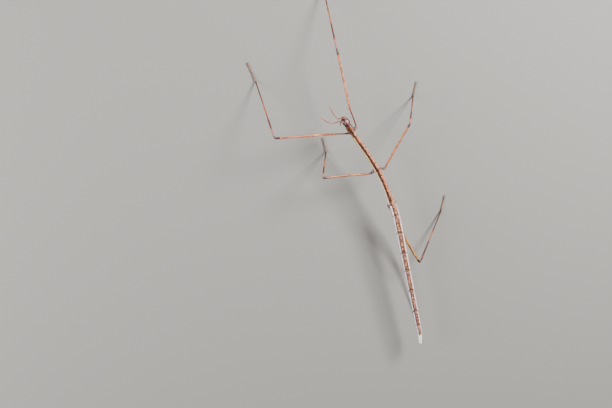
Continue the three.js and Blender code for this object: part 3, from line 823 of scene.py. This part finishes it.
mouthDims = {
    "along": (0.221, -0.584, -0.781), "up": (0.008, -0.800, 0.600),    # to the tips, and off the face
    # start, end, height at the start and the end, half width at the start and the end, thickness
    "lips": {
        "upper_lip": (-0.3, 0.42, 0.14, 0.03, 0.42, 0.3, 0.13),
        "lower_lip": (-0.3, 0.36, -0.3, -0.26, 0.3, 0.2, 0.12),
    },
    "lipRings": (0, 0.06, 0.16, 0.3, 0.5, 0.7, 0.84, 0.94, 1),
    "lipSteps": 7, "lipSides": 16,
    "jaw": ((-0.3, 0.36, -0.08), (0.05, 0.41, -0.1), (0.32, 0.27, -0.1), (0.42, 0.06, -0.1)),
    "jawRings": (0, 0.15, 0.35, 0.55, 0.75, 0.9, 1),
    "jawSteps": 5, "jawSides": 10,
}
mouthAlong, mouthUp = Vector(mouthDims["along"]), Vector(mouthDims["up"])
mouthSide = mouthAlong.cross(mouthUp)


def mouthPoint(along, side, up):
    return Vector(headPlaces["mouth"]) + mouthAlong * along + mouthSide * side + mouthUp * up


def makeLip(name):
    start, end, rise, endRise, width, endWidth, thick = mouthDims["lips"][name]
    steps = mouthDims["lipSteps"]
    line = [
        mouthPoint(blendOf(start, end, k / steps), 0, blendOf(rise, endRise, (k / steps) ** 2))
        for k in range(steps + 1)
    ]

    def size(u):
        # narrower at both ends, and thinner towards the rounded tip
        wide = blendOf(width, endWidth, u) * (1 - 0.5 * u ** 10) * (0.7 + ramp(u, 0.3, 0, 0.16))
        tall = thick * (1 - 0.6 * u ** 4) * (0.4 + ramp(u, 0.6, 0, 0.2))
        return wide, tall
    return shapedTube(name, line, mouthDims["lipRings"], size, mouthDims["lipSides"], cuticle["feeler"])


def jawSize(u):
    return 0.11 - 0.06 * u ** 2, 0.16 - 0.09 * u ** 2


def makeJaw(side):
    points = [mouthPoint(along, side * out, up) for along, out, up in mouthDims["jaw"]]
    line = smoothLine(points, mouthDims["jawSteps"])
    return shapedTube("jaw", line, mouthDims["jawRings"], jawSize, mouthDims["jawSides"], cuticle["claw"])


mouthPieces = [makeLip(lipName) for lipName in mouthDims["lips"]] + [makeJaw(side) for side in (1, -1)]
settle(joinPieces("mouthparts_skin", mouthPieces), "face", "mouthparts")
print("mouth made")


# Tail: the plate under the last sections, and two cerci

tailDims = {
    "plate": ((-10.39, 66.72, 8.31), (-10.40, 67.96, 8.30), (-10.34, 69.73, 8.35), (-10.12, 71.71, 8.47)),
    "plateRings": (0, 0.05, 0.15, 0.3, 0.45, 0.6, 0.75, 0.87, 0.95, 1), "plateSides": 16,
    "cercusRoot": (-9.93, 72.92, 9.45), "along": (0.16, 0.987, 0.0), "left": (0.987, -0.16, 0.0),
    "apart": 0.34, "below": 0.3, "splay": 0.12,    # of each cercus, from the middle
    "length": 1.2,
    "rings": (0, 0.1, 0.3, 0.5, 0.7, 0.85, 0.95, 1), "steps": 6, "sides": 10,
}


def plateSize(u):
    # spoon shaped: narrow in front, swelling, and rounded off at the rear
    swell = math.sin(math.pi * (0.2 + 0.7 * u))
    return 0.24 + 0.4 * swell - 0.3 * u ** 8, 0.14 + 0.13 * swell - 0.06 * u ** 8


def cercusSize(u):
    radius = 0.25 - 0.14 * u ** 2
    return radius, radius


def makeCercus(name, side):
    dims = tailDims
    left = Vector(dims["left"])
    along = (Vector(dims["along"]) + left * side * dims["splay"]).normalized()
    start = Vector(dims["cercusRoot"]) + left * side * dims["apart"] - Vector((0, 0, dims["below"]))
    line = [start + along * dims["length"] * k / dims["steps"] for k in range(dims["steps"] + 1)]
    skin = shapedTube(name + "_skin", line, dims["rings"], cercusSize, dims["sides"], cuticle["tail"])
    settle(skin, "tail", name)


plateLine = smoothLine([Vector(point) for point in tailDims["plate"]])
plate = shapedTube("operculum_skin", plateLine, tailDims["plateRings"], plateSize, tailDims["plateSides"],
                   cuticle["tail"])
settle(plate, "tail", "operculum")
makeCercus("cercus_l", 1)
makeCercus("cercus_r", -1)
print("tail made")


# Markings of the body

# stretch along the body, scale, detail and shift of each noise
backNoises = {
    "mottle": (0.6, 1.1, 4, 3),     # blotches about 0.9 mm across
    "fleck": (0.8, 1.9, 3, 31),     # flecks about 0.5 mm across, drawn coarse to show
    "streak": (0.3, 2.4, 4, 11),    # streaks about 0.4 mm wide, drawn coarse to show
    "speck": (0.9, 4.0, 3, 23),     # specks about 0.25 mm wide
    "wander": (1.0, 1.3, 3, 41),    # lets the edges of the stripes wander
}
backRelief = {
    "notches": 6.0,    # radians for each mm, so one notch every 1.05 mm along the dark band
    "notchSlant": 5.0, "notchWander": 9.0, "notchDepth": 0.13,
    "bandWander": 0.9, "lineWander": 0.45,    # how far the edges wander in all, in radians
    "granules": 3.6,    # granules about 0.3 mm apart
    "depth": 0.05,
}
backRamp = ((0.30, "#3e1402"), (0.74, "#cf6820"), (0.44, "#762b05"), (0.56, "#a8450c"))
neck, hips, tail = neckPlace, jointPlaces[3], jointPlaces[-1]
# a stripe is a field, from and to which value it runs, its fade and its strength. Across the back
# they are angles in radians from its top, so 1.57 is the side
backRegions = {
    "head": ("along", -5, neck - 0.1, 0.3),
    "collar": ("along", neck, jointPlaces[1] - 0.2, 0.4),
    "thorax": ("along", neck, hips - 0.5, 1.0),
    "abdomen": ("along", hips - 0.2, tail + 5, 1.0),
    "tip": ("along", jointPlaces[11] + 1.9, tail + 5, 0.6),
}
# each layer has a colour, and the regions and stripes where it lies
backLayers = {
    "pale fleck": ("#eea06c", ("fleck", 0.57, 1, 0.05, 0.75)),
    # painted light: paler flecks only on the lit right side of the back
    "painted light, right side": ("#eeb08c", "right", ("fleck", 0.47, 1, 0.08, 0.7)),
    "dark speck": ("#2f0f05", ("speck", 0.57, 1, 0.04, 0.85)),
    "dark fleck": ("#3f1607", ("fleck", -1, 0.41, 0.04, 0.85)),
    "collar": ("#7a3c0c", "collar", ("mottle", 0.42, 1, 0.1, 0.75)),
    "collar streak": ("#230d04", "collar", ("streak", 0.54, 1, 0.05, 0.85)),
    # the thorax: a dark band between the back and a cream line along the flank. The band itself is real, but
    # it is full on the left and a quarter of that on the right, so on the shaded left flank it is also
    # painted shade
    "dark band": ("#1c0802", "thorax", "left", ("notched", 0.28, 0.98, 0.1, 0.9)),
    "band streak": ("#a04e12", "thorax", ("streak", 0.60, 1, 0.04, 0.6), ("notched", 0.28, 0.98, 0.1)),
    "cream line": ("#f4dea0", "thorax", ("along", jointPlaces[1] + 2.6, tail, 2.4),
                   ("edge", 1.10, 1.52, 0.05, 0.97)),
    "chalky line": ("#ece6e0", "thorax", ("along", jointPlaces[2] + 4, tail, 4),
                    ("edge", 1.04, 1.60, 0.07, 0.7)),
    "line speck": ("#a5703c", "thorax", ("speck", 0.6, 1, 0.04, 0.7), ("edge", 1.04, 1.60, 0.07)),
    "chest": ("#5b3a27", "thorax", ("fold", 1.7, 4, 0.1, 0.9)),
    # the abdomen: a white line along each edge, speckled maroon between them and lilac grey below
    "ochre rear": ("#cf8440", "abdomen", ("share", 0.42, 0.9, 0.25, 0.55), ("fold", -1, 0.7, 0.1)),
    "rosy front": ("#bd8282", "abdomen", ("share", -0.1, 0.3, 0.25, 0.6), ("fold", -1, 0.8, 0.1)),
    "rosy end": ("#b87f78", "abdomen", ("along", jointPlaces[8], tail, 6, 0.6), ("fold", -1, 0.8, 0.1)),
    "tan fleck": ("#f1c193", "abdomen", ("fleck", 0.57, 1, 0.03, 0.7), ("fold", -1, 0.7, 0.1)),
    "maroon fleck": ("#34100f", "abdomen", ("fleck", -1, 0.46, 0.03, 0.85), ("wavy", -1, 0.66, 0.1)),
    "maroon speck": ("#3d1514", "abdomen", ("speck", 0.54, 1, 0.03, 0.8), ("wavy", -1, 0.66, 0.1)),
    "inner edge": ("#4a2219", "abdomen", ("notched", 0.34, 0.64, 0.1, 0.7)),
    "lilac side": ("#a18387", "abdomen", ("fold", 1.12, 1.75, 0.1, 0.9)),
    "white line": ("#fdf9ff", "abdomen", "unbroken", "mostly", ("edge", 0.72, 1.14, 0.05)),
    "white line speck": ("#a08890", "abdomen", ("speck", 0.61, 1, 0.04, 0.6), ("fold", 0.74, 1.12, 0.07)),
    # painted light: a pinkish pale wash over the lit right flank of the abdomen
    "painted light, right flank": ("#dca8a4", "abdomen", "right", ("fold", 0.7, 1.75, 0.1, 0.5)),
    "seam": ("#4b2c24", "abdomen", "joint", ("fold", 0.6, 1.2, 0.1, 0.7)),
    "paired spots": ("#240b06", "abdomen", ("share", 0.86, 0.94, 0.02), ("fold", 0.15, 0.45, 0.08, 0.9)),
    "belly": ("#b8a08e", "abdomen", ("fold", 1.9, 4, 0.15, 0.85)),
    "belly fleck": ("#64443c", "abdomen", ("fleck", 0.57, 1, 0.05, 0.6), ("fold", 1.3, 4, 0.15)),
    "belly speck": ("#4a2d28", "abdomen", ("speck", 0.57, 1, 0.04, 0.6), ("fold", 1.25, 4, 0.1)),
    # the head: a brown crown over dark cheeks, with painted light in lilac on the crown's right half and
    # painted shade on the left cheek
    "crown": ("#7c4238", "head", ("speck", -1, 2, 0.1, 0.9)),
    # painted light: lilac over the lit right half of the crown
    "painted light, crown's right": ("#c28c90", "head", "right", ("mottle", 0.44, 1, 0.1, 0.75)),
    "cheek": ("#2c1008", "head", ("wavy", 0.45, 1.5, 0.15, 0.9)),
    # painted shade: the left cheek is made darker than the right
    "painted shade, left cheek": ("#2c1008", "head", "left", ("wavy", 0.1, 1.5, 0.2, 0.55)),
    "head streak": ("#45211a", "head", ("streak", 0.53, 1, 0.05, 0.75)),
    "white tip": ("#fdf6ec", "tip", ("speck", -1, 0.62, 0.1, 0.95)),
}


def wanderingFold(tree, fields, width):
    # the angle from the top on either side, moved to and fro by up to half the width
    moved = addNode(tree, "Math", {0: fields["wander"], 1: width, 2: -width / 2}, timesPlus)
    return addNode(tree, "Math", {0: fields["fold"], 1: moved}, {"operation": "ADD"})


def backFields(tree, straight, angle, share):
    # everything that the layers of the back name
    fields = {key: blotches(tree, straight, *noise) for key, noise in backNoises.items()}
    fields["share"] = share
    fields["along"] = addNode(tree, "SeparateXYZ", {0: straight})
    fields["fold"] = addNode(tree, "Math", {0: angle}, {"operation": "ABSOLUTE"})
    fields["wavy"] = wanderingFold(tree, fields, backRelief["bandWander"])
    fields["edge"] = wanderingFold(tree, fields, backRelief["lineWander"])
    # the dark band's edge has slanting, uneven notches
    notch = addNode(tree, "Math", {0: fields["fold"], 1: backRelief["notchSlant"]}, times)
    notch = addNode(tree, "Math", {0: fields["along"], 1: backRelief["notches"], 2: notch}, timesPlus)
    notch = addNode(tree, "Math", {0: fields["wander"], 1: backRelief["notchWander"], 2: notch}, timesPlus)
    notch = addNode(tree, "Math", {0: notch}, {"operation": "SINE"})
    depth = backRelief["notchDepth"]
    fields["notched"] = addNode(tree, "Math", {0: notch, 1: depth, 2: fields["wavy"]}, timesPlus)
    # full on the left side, and a quarter or most of that on the right; then only on the right. The first
    # lays painted shade onto the shaded left flank, and the last lays painted light onto the lit right side
    fields["left"] = addNode(tree, "MapRange", {0: angle, 1: -0.1, 2: 0.25, 3: 0.25})
    fields["mostly"] = addNode(tree, "MapRange", {0: angle, 1: -0.1, 2: 0.25, 3: 0.85})
    fields["right"] = addNode(tree, "MapRange", {0: angle, 1: -0.2, 2: 0.2, 3: 1.0, 4: 0.0})
    ends = {0: stripe(tree, share, 0.955, 1.2, 0.02), 1: stripe(tree, share, -1, 0.015, 0.025)}
    fields["joint"] = addNode(tree, "Math", ends, {"operation": "MAXIMUM"})
    fields["unbroken"] = addNode(tree, "Math", {0: 1.0, 1: fields["joint"]}, {"operation": "SUBTRACT"})
    for name, (field, *span) in backRegions.items():
        fields[name] = stripe(tree, fields[field], *span)
    return fields


def paintBody(material):
    # waxy cuticle, rough with fine granules, so the light on it breaks up along the back
    tree = material.node_tree
    straight, angle, share = readLimb(tree)
    fields = backFields(tree, straight, angle, share)
    layers = []
    for tint, *places in backLayers.values():
        shares = [fields[p] if isinstance(p, str) else stripe(tree, fields[p[0]], *p[1:]) for p in places]
        layers.append((tint, *shares))
    back = addNode(tree, "ValToRGB", {0: fields["mottle"]}, stops=backRamp)
    speck = fields["speck"]
    granules = addNode(tree, "TexVoronoi", {"Vector": straight, "Scale": backRelief["granules"]},
                       {"feature": "SMOOTH_F1"})
    rough = addNode(tree, "MapRange", {0: speck, 1: 0.3, 2: 0.7, 3: 0.36, 4: 0.52})
    relief = addNode(tree, "Math", {0: fields["streak"], 1: 0.6, 2: speck}, timesPlus)
    relief = addNode(tree, "Math", {0: granules, 1: -0.9, 2: relief}, timesPlus)
    tree.links.new(rough, surfaceOf(material)["Roughness"])
    finishMaterial(material, layColours(tree, back, layers), relief, backRelief["depth"], 0.6)


limbPattern = {
    # stretch, scale, detail and shift of each noise
    "streak": (0.2, 3.2, 4, 17),    # streaks about 0.3 mm wide, drawn coarse to show
    "speck": (0.7, 4.5, 2, 29),     # specks about 0.2 mm wide
    "ridges": 6.0, "relief": 0.04,
    "soot": "#2b1410",    # the colour of the darkest streaks and specks
}


def paintLimb(material, cloudScale, colours, bands):
    # clouded along the limb, streaked and banded
    tree = material.node_tree
    straight, angle, share = readLimb(tree)
    cloud = blotches(tree, straight, 0.5, cloudScale, 2, 5)
    streak, speck = (blotches(tree, straight, *limbPattern[key]) for key in ("streak", "speck"))
    dark, middle, light = colours
    # six ridges run along the limb, paler on their crests
    turns = addNode(tree, "Math", {0: angle, 1: limbPattern["ridges"]}, times)
    ridges = addNode(tree, "Math", {0: turns}, {"operation": "COSINE"})
    colour = addNode(tree, "ValToRGB", {0: cloud}, stops=[(0.38, dark), (0.62, light), (0.5, middle)])
    layers = [
        (light, stripe(tree, ridges, 0.55, 2, 0.3, 0.5)),
        (light, stripe(tree, streak, -1, 0.40, 0.08, 0.65)),
        (dark, stripe(tree, streak, 0.58, 1, 0.08, 0.7)),
    ]
    for tint, low, high, soft, strength in bands:
        layers.append((tint, stripe(tree, share, low, high, soft, strength)))
    layers.append((limbPattern["soot"], stripe(tree, streak, 0.62, 1, 0.08, 0.45)))
    layers.append((limbPattern["soot"], stripe(tree, speck, 0.57, 1, 0.06, 0.55)))
    relief = addNode(tree, "Math", {0: ridges, 1: 0.25, 2: streak}, timesPlus)
    finishMaterial(material, layColours(tree, colour, layers), relief, limbPattern["relief"], 0.5)


eyePattern = {
    # scales for places in metres
    "facets": 18000.0,    # facets 0.05 mm across
    "blotches": 2600.0,    # blotches about 0.4 mm across
    "relief": 0.01,
    "colours": ((0.4, "#120d09"), (0.70, "#4f4030"), (0.55, "#2a1d13")),
}


def paintEye(material):
    tree = material.node_tree
    place = addNode(tree, "TexCoord", out=3)
    facets = addNode(tree, "TexVoronoi", {"Vector": place, "Scale": eyePattern["facets"]})
    blotch = addNode(tree, "TexNoise", {"Vector": place, "Scale": eyePattern["blotches"], "Detail": 3})
    colour = addNode(tree, "ValToRGB", {0: blotch}, stops=eyePattern["colours"])
    finishMaterial(material, colour, facets, eyePattern["relief"], 0.3)


bodyCuticle = startMaterial("mottled back cuticle, waxy", 0.45)
paintBody(bodyCuticle)
body.data.materials.append(bodyCuticle)
for key, limbCuticle in cuticle.items():
    paintLimb(limbCuticle, *limbLooks[key][2:])
paintEye(eyeLens)
print("materials made")


# Floor, lights and camera

studio = {
    "floorSize": 1200, "floorColour": "#8b8883",
    "lens": 100,
    "camera": (73.627, -111.947, 629.824), "aim": (22.075, 10.380, 12),
    "imageUp": (-0.22535, -0.95914, -0.17111),
    "sight": (0.01, 20),    # from where to where the camera can see, in metres
    # place, size, and power in watts
    "lights": {"key": ((-300, -170, 300), 150, 5.6), "fill": ((330, -60, 200), 260, 2.3)},
    "world": 0.12, "worldColour": (0.92, 0.94, 1, 1),
}

# uncoated paper, pressed but not glazed, so it has no shine
clearSelection()
bpy.ops.mesh.primitive_plane_add(size=studio["floorSize"] * mm, location=(0, 0, 0))
floor = bpy.context.object
floor.name = "floor"
floorPaper = startMaterial("pale paper floor, matt", 0.9)
surfaceOf(floorPaper)["Base Color"].default_value = linear(studio["floorColour"])
floor.data.materials.append(floorPaper)

for lightName, (place, size, power) in studio["lights"].items():
    light = bpy.data.lights.new(lightName, "AREA")
    light.size = size * mm
    light.energy = power
    lamp = bpy.data.objects.new(lightName, light)
    lamp.location = Vector(place) * mm
    lamp.rotation_euler = (-Vector(place)).to_track_quat("-Z", "Y").to_euler()
    bpy.context.scene.collection.objects.link(lamp)

world = bpy.data.worlds.new("soft room")
world.use_nodes = True
sky = world.node_tree.nodes["Background"].inputs
sky["Color"].default_value = studio["worldColour"]
sky["Strength"].default_value = studio["world"]
bpy.context.scene.world = world

cameraData = bpy.data.cameras.new("camera")
cameraData.lens = studio["lens"]
cameraData.clip_start, cameraData.clip_end = studio["sight"]
camera = bpy.data.objects.new("camera", cameraData)
backwards = (Vector(studio["camera"]) - Vector(studio["aim"])).normalized()
rightwards = Vector(studio["imageUp"]).cross(backwards).normalized()
upwards = backwards.cross(rightwards)
camera.matrix_world = Matrix((rightwards, upwards, backwards)).transposed().to_4x4()
camera.location = Vector(studio["camera"]) * mm
bpy.context.scene.collection.objects.link(camera)
bpy.context.scene.camera = camera
print("studio made")
